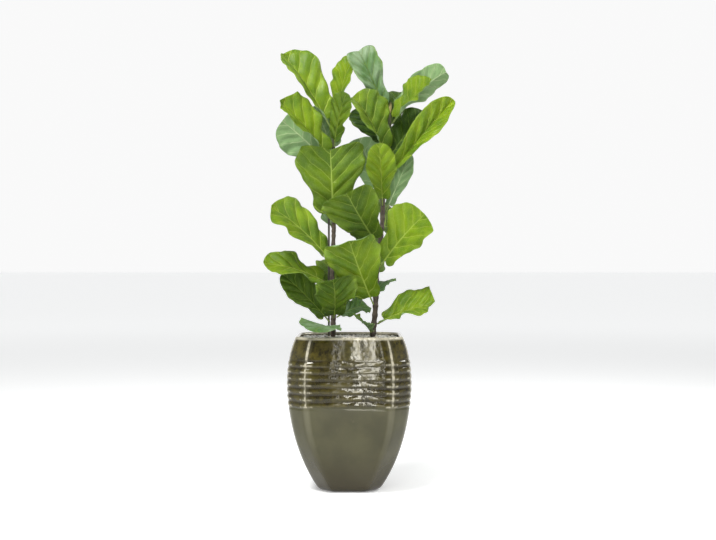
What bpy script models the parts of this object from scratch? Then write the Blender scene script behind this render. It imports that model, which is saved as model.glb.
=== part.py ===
"""A fiddle leaf fig: two staked plants in one square-shouldered, ring-ribbed ceramic pot.

Metres, +Z up. The origin is the middle of the pot's flat foot, and -Y is the front.
"""

import math
from collections import namedtuple

import bmesh
import bpy
from mathutils import Vector

# ---------------------------------------------------------------- driving dimensions

POT_HEIGHT = 0.468
POT_WALL = 0.012
POT_FLOOR = 0.022
POT_SIDES = 56

# The pot's outer face, as one Bezier curve of (half-width, height), from the foot to under the lip.
POT_CURVE = ((0.090, 0.0), (0.176, 0.12), (0.212, 0.35), (0.162, POT_HEIGHT - POT_WALL / 2))
CORNER_REACH_FOOT = 1.12
CORNER_REACH_BODY = 1.21
CORNER_REACH_FULL_HEIGHT = 0.20
CORNER_SHARPNESS = 40

RIB_COUNT = 7
RIB_LOWEST = 0.259
RIB_SPACING = 0.0202
RIB_PROUD = 0.0022

FIT_GAP = 0.0005
SOIL_TOP = 0.444
GRAVEL_TOP = 0.456
GRAVEL_CROWN = 0.004

BLADE_THICKNESS = 0.0016
PETIOLE_THICKNESS = 0.005
PETIOLE_HALF_WIDTH = 0.0025
PETIOLE_SHARE = 0.13
TIP_HALF_WIDTH = 0.0012
BLADE_STATIONS = 9
PETIOLE_STATIONS = 2
BLADE_COLUMNS = 4

TRUNK_ROOT_DEPTH = 0.07
STEM_ROOM = 0.0025
STAKE_RADIUS = 0.0035
TIE_HEIGHT = 0.007
TIE_THICKNESS = 0.0015

# ---------------------------------------------------------------- the two plants

Plant = namedtuple("Plant", "foot lean sway apex foot_radius tip_radius stake stake_top ties")

PLANTS = {
    "left": Plant(
        foot=(-0.051, 0.006),
        lean=(0.000, 0.008),
        sway=0.0025,
        apex=1.118,
        foot_radius=0.0075,
        tip_radius=0.0045,
        stake=(-0.013, 0.0130),
        stake_top=0.985,
        ties=(0.715, 0.915),
    ),
    "right": Plant(
        foot=(0.070, 0.006),
        lean=(0.076, 0.008),
        sway=0.0025,
        apex=1.150,
        foot_radius=0.0085,
        tip_radius=0.0050,
        stake=None,
        stake_top=None,
        ties=(),
    ),
}

# One row a leaf: where it leaves its trunk, where its tip is, and how its blade is held.
# height     of the petiole's foot on the trunk
# tip        where the tip is, as (x, y, z)
# width      the widest of the blade
# face       where the upper side looks: a heading in plan (0 right, 90 back, 180 left, 270 front)
#            and a rise above level, in degrees
# arch       how far the midrib bends back over its length, and curl, how much more its last third bends
# twist      how far the blade turns about its midrib from foot to tip
# fold       how far each half is folded up from the midrib
# wave       height of the margin's waves, and phase, where along the margin they start
Leaf = namedtuple("Leaf", "name plant height tip width face arch curl twist fold wave phase")

LEAVES = [
    # Left plant, from the soil up.
    Leaf("leaf_left_01", "left", 0.482, (-0.100, -0.202, 0.486), 0.135, (285, 70), 24, 16, 0, 12, 0.005, 0.4),
    Leaf("leaf_left_02", "left", 0.505, (-0.205, -0.020, 0.655), 0.105, (245, 45), 25, 0, 0, 24, 0.005, 1.1),
    Leaf("leaf_left_03", "left", 0.520, (-0.048, -0.095, 0.638), 0.140, (275, 45), 40, 40, 0, 16, 0.006, 2.0),
    Leaf("leaf_left_04", "left", 0.620, (-0.260, -0.060, 0.690), 0.125, (272, 52), 38, 10, 0, 22, 0.008, 0.0),
    Leaf("leaf_left_05", "left", 0.695, (-0.235, -0.060, 0.862), 0.155, (300, 36), 30, 10, 0, 26, 0.008, 3.2),
    Leaf("leaf_left_06", "left", 0.812, (-0.058, -0.040, 1.030), 0.222, (272, 12), 22, 14, 0, 10, 0.007, 1.2),
    Leaf("leaf_left_07", "left", 1.005, (-0.210, -0.062, 1.178), 0.150, (308, 28), 20, 20, 0, 44, 0.007, 2.4),
    Leaf("leaf_left_08", "left", 0.990, (-0.210, 0.050, 1.130), 0.150, (95, 25), 30, 10, 0, 10, 0.007, 0.3),
    Leaf("leaf_left_09", "left", 1.098, (-0.205, 0.030, 1.336), 0.185, (310, 20), 16, 16, 0, 46, 0.007, 5.0),
    Leaf("leaf_left_10", "left", 1.098, (0.000, 0.055, 1.334), 0.085, (240, 20), 15, 0, 0, 34, 0.006, 3.0),
    Leaf("leaf_left_11", "left", 1.045, (-0.008, -0.086, 1.196), 0.085, (250, 25), 20, 10, 0, 18, 0.004, 2.0),
    Leaf("leaf_left_12", "left", 0.560, (-0.030, 0.180, 0.700), 0.140, (85, 50), 45, 10, 0, 14, 0.006, 1.0),
    Leaf("leaf_left_13", "left", 0.790, (-0.055, 0.165, 0.935), 0.115, (100, 40), 40, 10, 0, 14, 0.006, 0.2),
    Leaf("leaf_left_14", "left", 0.895, (-0.045, 0.165, 1.050), 0.125, (80, 38), 35, 10, 0, 14, 0.006, 2.2),
    Leaf("leaf_left_15", "left", 1.030, (-0.110, 0.130, 1.190), 0.135, (100, 35), 30, 10, 0, 16, 0.005, 4.0),
    Leaf("leaf_left_16", "left", 0.520, (0.055, 0.060, 0.555), 0.085, (290, 60), 30, 10, 0, 10, 0.006, 1.4),
    # Right plant, from the soil up.
    Leaf("leaf_right_01", "right", 0.500, (0.258, -0.068, 0.572), 0.175, (268, 58), 28, 0, 0, 28, 0.008, 0.8),
    Leaf("leaf_right_02", "right", 0.475, (0.022, -0.080, 0.520), 0.080, (280, 60), 20, 0, 0, 22, 0.003, 0.0),
    Leaf("leaf_right_03", "right", 0.560, (-0.003, -0.118, 0.752), 0.165, (255, 12), 20, 30, 0, 12, 0.007, 2.6),
    Leaf("leaf_right_04", "right", 0.590, (0.112, 0.130, 0.630), 0.090, (80, 50), 30, 0, 0, 14, 0.004, 1.0),
    Leaf("leaf_right_05", "right", 0.675, (0.226, -0.062, 0.836), 0.165, (272, 36), 30, 10, 0, 24, 0.009, 4.4),
    Leaf("leaf_right_06", "right", 0.745, (-0.008, -0.105, 0.893), 0.172, (247, 12), 18, 14, 0, 10, 0.007, 1.8),
    Leaf("leaf_right_07", "right", 0.865, (0.088, -0.090, 1.045), 0.105, (275, 16), 15, 15, 0, 24, 0.006, 0.5),
    Leaf("leaf_right_08", "right", 0.950, (0.315, -0.050, 1.182), 0.115, (300, 40), 18, 0, 0, 52, 0.006, 2.2),
    Leaf("leaf_right_09", "right", 0.845, (0.188, 0.045, 1.028), 0.068, (65, 30), 15, 0, 0, 26, 0.004, 5.2),
    Leaf("leaf_right_10", "right", 1.015, (0.010, -0.060, 1.188), 0.170, (298, 34), 30, 15, 0, 42, 0.006, 1.0),
    Leaf("leaf_right_11", "right", 1.145, (0.028, 0.020, 1.342), 0.100, (268, 20), 15, 20, 0, 22, 0.008, 0.0),
    Leaf("leaf_right_12", "right", 1.150, (0.300, 0.040, 1.280), 0.115, (80, 35), 25, 0, 0, 34, 0.008, 2.8),
    Leaf("leaf_right_13", "right", 1.115, (0.250, -0.040, 1.245), 0.125, (275, 58), 20, 0, 0, 40, 0.005, 3.6),
    Leaf("leaf_right_14", "right", 1.005, (0.235, 0.045, 1.155), 0.130, (262, 48), 28, 0, 0, 18, 0.005, 1.6),
    Leaf("leaf_right_15", "right", 1.050, (0.020, 0.045, 1.168), 0.088, (262, 18), 24, 10, 0, 16, 0.005, 4.6),
    Leaf("leaf_right_16", "right", 0.640, (0.035, 0.180, 0.780), 0.145, (100, 50), 45, 10, 0, 14, 0.006, 3.0),
    Leaf("leaf_right_17", "right", 0.770, (0.100, 0.180, 0.895), 0.130, (75, 45), 40, 10, 0, 14, 0.006, 5.5),
    Leaf("leaf_right_18", "right", 0.915, (0.030, 0.165, 1.090), 0.145, (110, 38), 35, 10, 0, 14, 0.006, 0.9),
    Leaf("leaf_right_19", "right", 1.098, (0.158, 0.150, 1.235), 0.100, (262, 30), 20, 10, 0, 16, 0.005, 2.9),
]

# ---------------------------------------------------------------- materials

GLAZE = ("olive_glaze", (0.085, 0.075, 0.035), 0.22)
SOIL = ("dark_soil", (0.030, 0.020, 0.013), 0.95)
GRAVEL = ("pale_gravel", (0.42, 0.40, 0.36), 0.85)
BARK = ("brown_bark", (0.090, 0.060, 0.035), 0.85)
STAKE = ("green_cane", (0.020, 0.045, 0.020), 0.60)
TIE = ("black_tie", (0.015, 0.015, 0.015), 0.70)
LEAF = ("fig_leaf", (0.160, 0.280, 0.030), 0.45)
BUD = ("bud_sheath", (0.220, 0.150, 0.060), 0.65)


def material(recipe):
    name, colour, roughness = recipe
    made = bpy.data.materials.get(name)
    if made is None:
        made = bpy.data.materials.new(name)
        made.use_nodes = True
        shader = made.node_tree.nodes["Principled BSDF"]
        shader.inputs["Base Color"].default_value = (*colour, 1.0)
        shader.inputs["Roughness"].default_value = roughness
        shader.inputs["Metallic"].default_value = 0.0
    return made


# ---------------------------------------------------------------- scene helpers


def clear_scene():
    for old in list(bpy.data.objects):
        bpy.data.objects.remove(old)


def collection(name):
    made = bpy.data.collections.new(name)
    bpy.context.scene.collection.children.link(made)
    return made


def object_from(bm, name, recipe, into):
    """A new object from a bmesh, which is then freed."""
    mesh = bpy.data.meshes.new(name)
    bm.to_mesh(mesh)
    bm.free()
    obj = bpy.data.objects.new(name, mesh)
    if recipe is not None:
        mesh.materials.append(material(recipe))
    into.objects.link(obj)
    return obj


def smooth(obj, degrees=40):
    obj.data.shade_smooth()
    obj.data.set_sharp_from_angle(angle=math.radians(degrees))


def as_helper(obj):
    obj.hide_render = True
    obj.display_type = "WIRE"


def smoothstep(low, high, value):
    x = min(1.0, max(0.0, (value - low) / (high - low)))
    return x * x * (3.0 - 2.0 * x)


# ---------------------------------------------------------------- the pot


def bezier(points, t):
    """A point on a cubic Bezier curve, as (half-width, height)."""
    a, b, c, d = (Vector(p) for p in points)
    u = 1.0 - t
    return a * u**3 + b * 3 * u * u * t + c * 3 * u * t * t + d * t**3


def wall_half_width(height):
    """The pot's outer half-width at a height, without its ribs."""
    low, high = 0.0, 1.0
    for _ in range(30):
        middle = (low + high) / 2
        if bezier(POT_CURVE, middle).y < height:
            low = middle
        else:
            high = middle
    return bezier(POT_CURVE, low).x


def squared(angle, height):
    """How far the pot's outline stands out at this angle: 1 at the middle of each of its four wide faces."""
    reach = CORNER_REACH_FOOT + (CORNER_REACH_BODY - CORNER_REACH_FOOT) * smoothstep(
        0.0, CORNER_REACH_FULL_HEIGHT, height
    )
    eighth = math.pi / 4
    total = 0.0
    for turn in range(4):
        limit = 1.0 if turn % 2 == 0 else reach
        total += (abs(math.cos(angle - turn * eighth)) / limit) ** CORNER_SHARPNESS
    return total ** (-1.0 / CORNER_SHARPNESS)


def turned_and_squared(profile, name, recipe, into):
    """A solid from a profile of (half-width, height) pairs, spun about Z and pushed out to the pot's outline."""
    bm = bmesh.new()
    verts = [bm.verts.new((x, 0.0, z)) for x, z in profile]
    edges = [bm.edges.new(pair) for pair in zip(verts, verts[1:])]
    bmesh.ops.spin(
        bm,
        geom=verts + edges,
        cent=(0, 0, 0),
        axis=(0, 0, 1),
        angle=math.tau,
        steps=POT_SIDES,
        use_merge=True,
    )
    bmesh.ops.remove_doubles(bm, verts=bm.verts, dist=1e-5)
    for vert in bm.verts:
        reach = squared(math.atan2(vert.co.y, vert.co.x), vert.co.z)
        vert.co.x *= reach
        vert.co.y *= reach
    bmesh.ops.recalc_face_normals(bm, faces=bm.faces)
    obj = object_from(bm, name, recipe, into)
    smooth(obj)
    return obj


def rib_profile():
    """The ribbed band, from its lowest valley to its highest: a crest and a valley for each rib."""
    points = []
    for rib in range(RIB_COUNT):
        valley = RIB_LOWEST + rib * RIB_SPACING
        crest = valley + RIB_SPACING / 2
        points.append((wall_half_width(valley), valley))
        points.append((wall_half_width(crest) + RIB_PROUD, crest))
    top = RIB_LOWEST + RIB_COUNT * RIB_SPACING
    return points + [(wall_half_width(top), top)]


def make_pot(into):
    foot = [(0.0, 0.0), (POT_CURVE[0][0] - 0.004, 0.0), (wall_half_width(0.004), 0.004)]
    lower = [(wall_half_width(z), z) for z in (0.035, 0.075, 0.12, 0.17, 0.21)]
    upper = [(wall_half_width(z), z) for z in (0.425, 0.447)]
    lip_radius = POT_WALL / 2
    lip_middle = (POT_CURVE[3][0] - lip_radius, POT_CURVE[3][1])
    lip = [
        (
            lip_middle[0] + lip_radius * math.cos(math.radians(degrees)),
            lip_middle[1] + lip_radius * math.sin(math.radians(degrees)),
        )
        for degrees in (0, 45, 90, 135, 180)
    ]
    inside = [(wall_half_width(z) - POT_WALL, z) for z in (0.43, 0.35, 0.25, 0.16, 0.09, 0.035)]
    floor = [(wall_half_width(POT_FLOOR) - POT_WALL - 0.006, POT_FLOOR), (0.0, POT_FLOOR)]
    profile = foot + lower + rib_profile() + upper + lip + inside + floor
    return turned_and_squared(profile, "pot", GLAZE, into)


def inner_half_width(height):
    return wall_half_width(height) - POT_WALL - 2 * FIT_GAP


def make_soil(into):
    levels = (0.045, 0.09, 0.16, 0.25, 0.35, SOIL_TOP)
    profile = [(0.0, POT_FLOOR + FIT_GAP), (inner_half_width(POT_FLOOR) - 0.008, POT_FLOOR + FIT_GAP)]
    profile += [(inner_half_width(z) - 0.001, z) for z in levels]
    profile += [(0.0, SOIL_TOP)]
    return turned_and_squared(profile, "potting_soil", SOIL, into)


def make_gravel(into):
    low = SOIL_TOP + FIT_GAP
    edge = inner_half_width(GRAVEL_TOP) - 0.001
    profile = [
        (0.0, low),
        (edge, low),
        (edge, GRAVEL_TOP),
        (edge * 0.75, GRAVEL_TOP + GRAVEL_CROWN * 0.6),
        (0.0, GRAVEL_TOP + GRAVEL_CROWN),
    ]
    return turned_and_squared(profile, "gravel_mulch", GRAVEL, into)


# ---------------------------------------------------------------- trunks, stakes and ties


def trunk_axis(plant, height):
    """The middle of a trunk at a height. It leans, and sways a little from joint to joint."""
    rise = height - SOIL_TOP
    sway = plant.sway * math.sin(rise * 22.0) * smoothstep(0.0, 0.15, rise)
    return Vector(
        (plant.foot[0] + plant.lean[0] * rise + sway, plant.foot[1] + plant.lean[1] * rise, height)
    )


def trunk_radius(plant, height):
    share = smoothstep(SOIL_TOP, plant.apex, height)
    return plant.foot_radius + (plant.tip_radius - plant.foot_radius) * share


def tube(name, points, radii, recipe, into, resolution=2):
    """A round tube along a polyline, as a curve with filled caps."""
    curve = bpy.data.curves.new(name, "CURVE")
    curve.dimensions = "3D"
    curve.bevel_depth = 1.0
    curve.bevel_resolution = resolution
    curve.use_fill_caps = True
    spline = curve.splines.new("POLY")
    spline.points.add(len(points) - 1)
    for slot, place, radius in zip(spline.points, points, radii):
        slot.co = (*place, 1.0)
        slot.radius = radius
    obj = bpy.data.objects.new(name, curve)
    curve.materials.append(material(recipe))
    into.objects.link(obj)
    return obj


def make_trunk(side, plant, into):
    lowest = SOIL_TOP - TRUNK_ROOT_DEPTH
    count = 16
    heights = [lowest, SOIL_TOP + 0.02]
    span = plant.apex - heights[-1]
    heights += [SOIL_TOP + 0.02 + span * (i + 1) / count for i in range(count)]
    straight = Vector((*plant.foot, 0.0))
    points = [trunk_axis(plant, z) if z > SOIL_TOP else straight + Vector((0, 0, z)) for z in heights]
    return tube("trunk_" + side, points, [trunk_radius(plant, z) for z in heights], BARK, into)


def make_bud(side, plant, into):
    """The pointed sheath round the newest leaf, at the top of the trunk."""
    low = trunk_axis(plant, plant.apex) + Vector((0, 0, FIT_GAP))
    lean = Vector((*plant.lean, 1.0)).normalized()
    shape = ((0.0, 0.0040), (0.008, 0.0052), (0.020, 0.0042), (0.034, 0.0012))
    points = [low + lean * along for along, _ in shape]
    return tube("bud_" + side, points, [radius for _, radius in shape], BUD, into)


def stake_middle(plant):
    return Vector((plant.foot[0] + plant.stake[0], plant.foot[1] + plant.stake[1], 0.0))


def stake_point(plant, height):
    """The middle of a stake at a height. It leans as its trunk does."""
    rise = height - SOIL_TOP
    low = stake_middle(plant)
    return Vector((low.x + plant.lean[0] * rise, low.y + plant.lean[1] * rise, height))


def make_stake(side, plant, into):
    heights = (SOIL_TOP - TRUNK_ROOT_DEPTH, SOIL_TOP + 0.02, plant.stake_top)
    points = [stake_point(plant, z) for z in heights]
    points[0] = Vector((points[1].x, points[1].y, heights[0]))
    return tube("stake_" + side, points, [STAKE_RADIUS] * len(points), STAKE, into)


def stadium(a, b, radius_a, radius_b, corners=10):
    """The outline of a band stretched round two circles, anticlockwise."""
    ahead = math.atan2(b.y - a.y, b.x - a.x)
    spread = math.pi / 2
    points = []
    for middle, radius, start in ((a, radius_a, ahead + spread), (b, radius_b, ahead - spread)):
        for step in range(corners + 1):
            angle = start + math.pi * step / corners
            points.append(middle + radius * Vector((math.cos(angle), math.sin(angle))))
    return points


def make_tie(side, number, plant, height, into):
    """A soft strap round the trunk and its stake."""
    trunk = trunk_axis(plant, height).to_2d()
    stake = stake_point(plant, height).to_2d()
    gap = 3 * FIT_GAP
    flat = bpy.data.curves.new(f"tie_{side}_{number}", "CURVE")
    flat.dimensions = "2D"
    flat.fill_mode = "BOTH"
    flat.extrude = TIE_HEIGHT / 2
    for extra in (TIE_THICKNESS, 0.0):
        outline = stadium(
            trunk,
            stake,
            trunk_radius(plant, height) + gap + extra,
            STAKE_RADIUS + gap + extra,
        )
        spline = flat.splines.new("POLY")
        spline.use_cyclic_u = True
        spline.points.add(len(outline) - 1)
        for slot, place in zip(spline.points, outline):
            slot.co = (place.x, place.y, 0.0, 1.0)
    obj = bpy.data.objects.new(flat.name, flat)
    flat.materials.append(material(TIE))
    obj.location.z = height
    into.objects.link(obj)
    return obj


def bore(target, middle, radius, low, high, into):
    """Cuts an upright round hole."""
    bm = bmesh.new()
    bmesh.ops.create_cone(
        bm, cap_ends=True, segments=16, radius1=radius, radius2=radius, depth=high - low
    )
    cutter = object_from(bm, f"{target.name}_hole", None, into)
    cutter.location = (middle.x, middle.y, (low + high) / 2)
    as_helper(cutter)
    cut = target.modifiers.new("hole", "BOOLEAN")
    cut.operation = "DIFFERENCE"
    cut.object = cutter


def make_room_for_stems(soil, gravel, helpers):
    for plant in PLANTS.values():
        stems = [(Vector(plant.foot), plant.foot_radius)]
        if plant.stake:
            stems.append((stake_point(plant, SOIL_TOP + 0.02), STAKE_RADIUS))
        low = SOIL_TOP - TRUNK_ROOT_DEPTH - FIT_GAP
        for middle, radius in stems:
            room = radius + STEM_ROOM
            bore(soil, middle, room, low, SOIL_TOP + 0.01, helpers)
            bore(gravel, middle, room, SOIL_TOP - 0.01, GRAVEL_TOP + 0.03, helpers)


# ---------------------------------------------------------------- the leaves


def blade_share(v):
    """The fiddle shape: half-width along the blade, as a share of the widest, from petiole (0) to tip (1)."""
    heel = math.sqrt(max(0.0, 1.0 - (1.0 - min(v, 0.14) / 0.14) ** 2))
    body = 0.52 + 0.48 * smoothstep(0.16, 0.62, v)
    point = math.sqrt(max(0.0, 1.0 - (max(0.0, v - 0.50) / 0.50) ** 3.0))
    return heel * body * point


def toward(heading, rise):
    """The unit vector at a heading in plan and a rise above level, both in degrees."""
    level = math.cos(math.radians(rise))
    return Vector(
        (
            level * math.cos(math.radians(heading)),
            level * math.sin(math.radians(heading)),
            math.sin(math.radians(rise)),
        )
    )


def bent_line(arch, curl, steps):
    """Points and slopes of a midrib on the flat, from (0, 0) to (1, 0)."""
    slopes, points = [], [Vector((0.0, 0.0))]
    for step in range(steps + 1):
        s = step / steps
        slopes.append(math.radians(arch * (0.5 - s) - curl * max(0.0, (s - 0.6) / 0.4) ** 2))
    for slope in slopes[:-1]:
        points.append(points[-1] + Vector((math.cos(slope), math.sin(slope))) / steps)
    end = points[-1]
    turn, reach = math.atan2(end.y, end.x), end.length
    cos, sin = math.cos(turn) / reach, math.sin(turn) / reach
    points = [Vector((p.x * cos + p.y * sin, p.y * cos - p.x * sin)) for p in points]
    return points, [slope - turn for slope in slopes]


def midrib(leaf, steps=40):
    """Frames (place, along, side, up) evenly spaced along the midrib, foot to tip."""
    start = leaf_foot(leaf)
    chord = Vector(leaf.tip) - start
    length = chord.length
    chord.normalize()
    face = toward(*leaf.face)
    lift = (face - chord * face.dot(chord)).normalized()
    across = lift.cross(chord)
    points, slopes = bent_line(leaf.arch, leaf.curl, steps)
    frames = []
    for step, (point, slope) in enumerate(zip(points, slopes)):
        along = chord * math.cos(slope) + lift * math.sin(slope)
        raised = lift * math.cos(slope) - chord * math.sin(slope)
        roll = math.radians(leaf.twist * (step / steps - 0.5))
        up = raised * math.cos(roll) + across * math.sin(roll)
        side = across * math.cos(roll) - raised * math.sin(roll)
        frames.append((start + (chord * point.x + lift * point.y) * length, along, side, up))
    return frames


def frame_at(frames, s):
    """The midrib's frame at a share of its length, by mixing the two nearest."""
    at = min(max(s, 0.0), 1.0) * (len(frames) - 1)
    low = min(int(at), len(frames) - 2)
    part = at - low
    return [a.lerp(b, part) for a, b in zip(frames[low], frames[low + 1])]


def leaf_foot(leaf):
    """Where the petiole starts, just clear of the trunk's bark, on the side that its tip is."""
    plant = PLANTS[leaf.plant]
    axis = trunk_axis(plant, leaf.height)
    outward = Vector(leaf.tip) - axis
    outward.z = 0.0
    clear = trunk_radius(plant, leaf.height) + PETIOLE_THICKNESS * 0.6 + FIT_GAP
    return axis + outward.normalized() * clear


def blade_point(leaf, frames, s, t):
    """A point of the blade's middle surface: s runs from foot to tip, and t from margin (-1) to margin (1)."""
    v = max(0.0, (s - PETIOLE_SHARE) / (1.0 - PETIOLE_SHARE))
    half = leaf.width / 2 * blade_share(v)
    least = TIP_HALF_WIDTH if s > 0.5 else PETIOLE_HALF_WIDTH
    reach = max(half, least) * abs(t)
    sign = 1.0 if t >= 0 else -1.0
    forward = (0.16 - 0.60 * (1.0 - v) ** 4) * half * abs(t)
    place, along, side, up = frame_at(frames, s)
    fold = math.radians(leaf.fold) * (1.0 - 0.25 * v)
    envelope = math.sqrt(max(0.0, math.sin(math.pi * v)))
    ripple = math.sin(math.tau * 2.1 * v + leaf.phase + 1.9 * (sign > 0))
    lift = reach * math.sin(fold) - 0.5 * reach * reach / leaf.width * math.sin(fold)
    lift += leaf.wave * envelope * ripple * abs(t) ** 1.6
    return place + along * forward + side * (sign * reach * math.cos(fold)) + up * lift


def make_leaf(leaf, into):
    frames = midrib(leaf)
    stations = [PETIOLE_SHARE * i / PETIOLE_STATIONS for i in range(PETIOLE_STATIONS)]
    stations += [
        PETIOLE_SHARE + (1.0 - PETIOLE_SHARE) * (i / BLADE_STATIONS) for i in range(BLADE_STATIONS + 1)
    ]
    bm = bmesh.new()
    bmesh.ops.create_grid(bm, x_segments=len(stations) - 1, y_segments=BLADE_COLUMNS, size=1.0)
    thick = bm.verts.layers.deform.verify()
    for vert in bm.verts:
        row = round((vert.co.x + 1.0) / 2.0 * (len(stations) - 1))
        t = vert.co.y
        s = stations[row]
        vert.co = blade_point(leaf, frames, s, t)
        is_petiole = row < PETIOLE_STATIONS
        vert[thick][0] = 1.0 if is_petiole else BLADE_THICKNESS / PETIOLE_THICKNESS
    obj = object_from(bm, leaf.name, LEAF, into)
    obj.vertex_groups.new(name="thickness")
    shell = obj.modifiers.new("thickness", "SOLIDIFY")
    shell.thickness = PETIOLE_THICKNESS
    shell.offset = 0.0
    shell.vertex_group = "thickness"
    obj.data.shade_smooth()
    return obj


# ---------------------------------------------------------------- the whole object


def main():
    clear_scene()
    parts = collection("potted_fiddle_leaf_fig")
    helpers = collection("cutters")
    make_pot(parts)
    soil = make_soil(parts)
    gravel = make_gravel(parts)
    make_room_for_stems(soil, gravel, helpers)
    for side, plant in PLANTS.items():
        make_trunk(side, plant, parts)
        make_bud(side, plant, parts)
        if plant.stake:
            make_stake(side, plant, parts)
        for number, height in enumerate(plant.ties, start=1):
            make_tie(side, number, plant, height, parts)
    for leaf in LEAVES:
        make_leaf(leaf, parts)


main()
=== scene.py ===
# %% [markdown]
# # A potted fiddle leaf fig
# A fiddle leaf fig is a small tree grown in a pot: woody trunks, big leathery leaves with pale veins,
# a layer of gravel, and a heavy glazed pot. The solid model gives every piece its size and place.
# This notebook gives each one its finish. First the solid model is loaded as a fixed frame.

# %% Load the frame
import math
import random
from collections import namedtuple

import bmesh
import bpy
import numpy as np
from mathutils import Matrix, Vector, noise


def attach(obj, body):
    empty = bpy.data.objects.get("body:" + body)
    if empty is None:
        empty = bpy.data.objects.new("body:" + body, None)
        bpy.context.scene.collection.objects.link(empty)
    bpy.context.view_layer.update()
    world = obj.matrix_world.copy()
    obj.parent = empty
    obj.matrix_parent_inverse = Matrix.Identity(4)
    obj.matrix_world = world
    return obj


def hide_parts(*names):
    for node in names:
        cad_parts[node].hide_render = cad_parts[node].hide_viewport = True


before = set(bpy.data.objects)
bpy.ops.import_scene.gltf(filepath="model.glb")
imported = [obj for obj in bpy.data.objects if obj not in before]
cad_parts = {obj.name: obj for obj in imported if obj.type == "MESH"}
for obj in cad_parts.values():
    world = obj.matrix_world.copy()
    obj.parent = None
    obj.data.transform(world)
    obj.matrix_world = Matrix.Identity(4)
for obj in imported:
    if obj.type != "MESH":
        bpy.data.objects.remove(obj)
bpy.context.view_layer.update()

# %% [markdown]
# ## Camera, floor and light
# The camera stands level, at about the height of the lowest leaves, and far enough back that the pot
# keeps its proportions. A plain pale floor catches a soft shadow, and glows faintly far away, where
# it meets the white wall. The room is dimmer in front and above, so that two soft panels can give the
# leaves light and shade. Four narrow upright strips stand in front of the pot, because a glossy glaze
# looks glossy only when it has something bright to mirror.

# %% Camera
CAMERA_DISTANCE = 3.5
CAMERA_HEIGHT = 0.666
CAMERA_SIDESTEP = 0.026
FIELD_WIDTH = 2.198
SENSOR_WIDTH = 36.0

scene = bpy.context.scene
camera = bpy.data.objects.new("camera", bpy.data.cameras.new("camera"))
scene.collection.objects.link(camera)
camera.location = (CAMERA_SIDESTEP, -CAMERA_DISTANCE, CAMERA_HEIGHT)
camera.rotation_euler = (math.radians(90), 0, 0)
camera.data.sensor_width = SENSOR_WIDTH
camera.data.lens = SENSOR_WIDTH * CAMERA_DISTANCE / FIELD_WIDTH
scene.camera = camera
scene.view_settings.view_transform = "Standard"
print("lens:", round(camera.data.lens, 1), "mm")

# %% Helpers for materials
def new_material(name):
    """An empty node material, its Principled shader and its output."""
    made = bpy.data.materials.new(name)
    made.use_nodes = True
    tree = made.node_tree
    return made, tree, tree.nodes["Principled BSDF"], tree.nodes["Material Output"]


def add(tree, kind, **settings):
    """A node with its settings. A key that names an input sets that input, with _ for a space."""
    node = tree.nodes.new("ShaderNode" + kind)
    for key, value in settings.items():
        if hasattr(node, key):
            setattr(node, key, value)
        else:
            node.inputs[key.replace("_", " ")].default_value = value
    return node


def wire(tree, source, target):
    tree.links.new(source, target)


def maths(tree, operation, a, b=0.0, c=0.0):
    """A Math node's result. Each of a, b and c is a number or an output socket."""
    node = tree.nodes.new("ShaderNodeMath")
    node.operation = operation
    for slot, value in zip(node.inputs, (a, b, c)):
        if isinstance(value, (int, float)):
            slot.default_value = value
        else:
            tree.links.new(value, slot)
    return node.outputs[0]


def times(tree, a, b):
    return maths(tree, "MULTIPLY", a, b)


def ramp(tree, source, low, high, from_value=0.0, to_value=1.0):
    """A smooth step from one value to another while source goes from low to high."""
    node = tree.nodes.new("ShaderNodeMapRange")
    node.interpolation_type = "SMOOTHSTEP"
    tree.links.new(source, node.inputs["Value"])
    ends = {"From Min": low, "From Max": high, "To Min": from_value, "To Max": to_value}
    for name, value in ends.items():
        if isinstance(value, (int, float)):
            node.inputs[name].default_value = value
        else:
            tree.links.new(value, node.inputs[name])
    return node.outputs["Result"]


def blend_colours(tree, mask, first, second):
    """First where the mask is 0, second where it is 1. Each is an RGB tuple or an output socket."""
    node = tree.nodes.new("ShaderNodeMix")
    node.data_type = "RGBA"
    for slot, value in ((node.inputs[0], mask), (node.inputs[6], first), (node.inputs[7], second)):
        if isinstance(value, tuple):
            slot.default_value = (*value, 1.0)
        elif isinstance(value, (int, float)):
            slot.default_value = value
        else:
            tree.links.new(value, slot)
    return node.outputs[2]


def noise_at(tree, place, scale, detail=3.0, roughness=0.55):
    node = add(tree, "TexNoise", Scale=scale, Detail=detail, Roughness=roughness)
    wire(tree, place, node.inputs["Vector"])
    return node.outputs["Fac"]


def object_place(tree):
    return tree.nodes.new("ShaderNodeTexCoord").outputs["Object"]


def axis_of(tree, place, axis):
    """One of a place's X, Y and Z."""
    split = add(tree, "SeparateXYZ")
    wire(tree, place, split.inputs[0])
    return split.outputs[axis]


def drawn_out(tree, place, share):
    """The place with its height squeezed, so that a noise read there runs in upright streaks."""
    squeeze = add(tree, "Mapping")
    wire(tree, place, squeeze.inputs["Vector"])
    squeeze.inputs["Scale"].default_value = (1.0, 1.0, share)
    return squeeze.outputs[0]


def attribute(tree, name):
    return add(tree, "Attribute", attribute_name=name).outputs["Fac"]


def coat(tree, shader, colour, roughness, relief, depth, strength=1.0):
    """Gives a shader its colour, its roughness, and relief as a bump of so many metres."""
    node = add(tree, "Bump", Strength=strength, Distance=depth)
    wire(tree, relief, node.inputs["Height"])
    wire(tree, colour, shader.inputs["Base Color"])
    wire(tree, roughness, shader.inputs["Roughness"])
    wire(tree, node.outputs["Normal"], shader.inputs["Normal"])


# %% Helpers for meshes
def smoothstep(low, high, value):
    x = min(1.0, max(0.0, (value - low) / (high - low)))
    return x * x * (3.0 - 2.0 * x)


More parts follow.
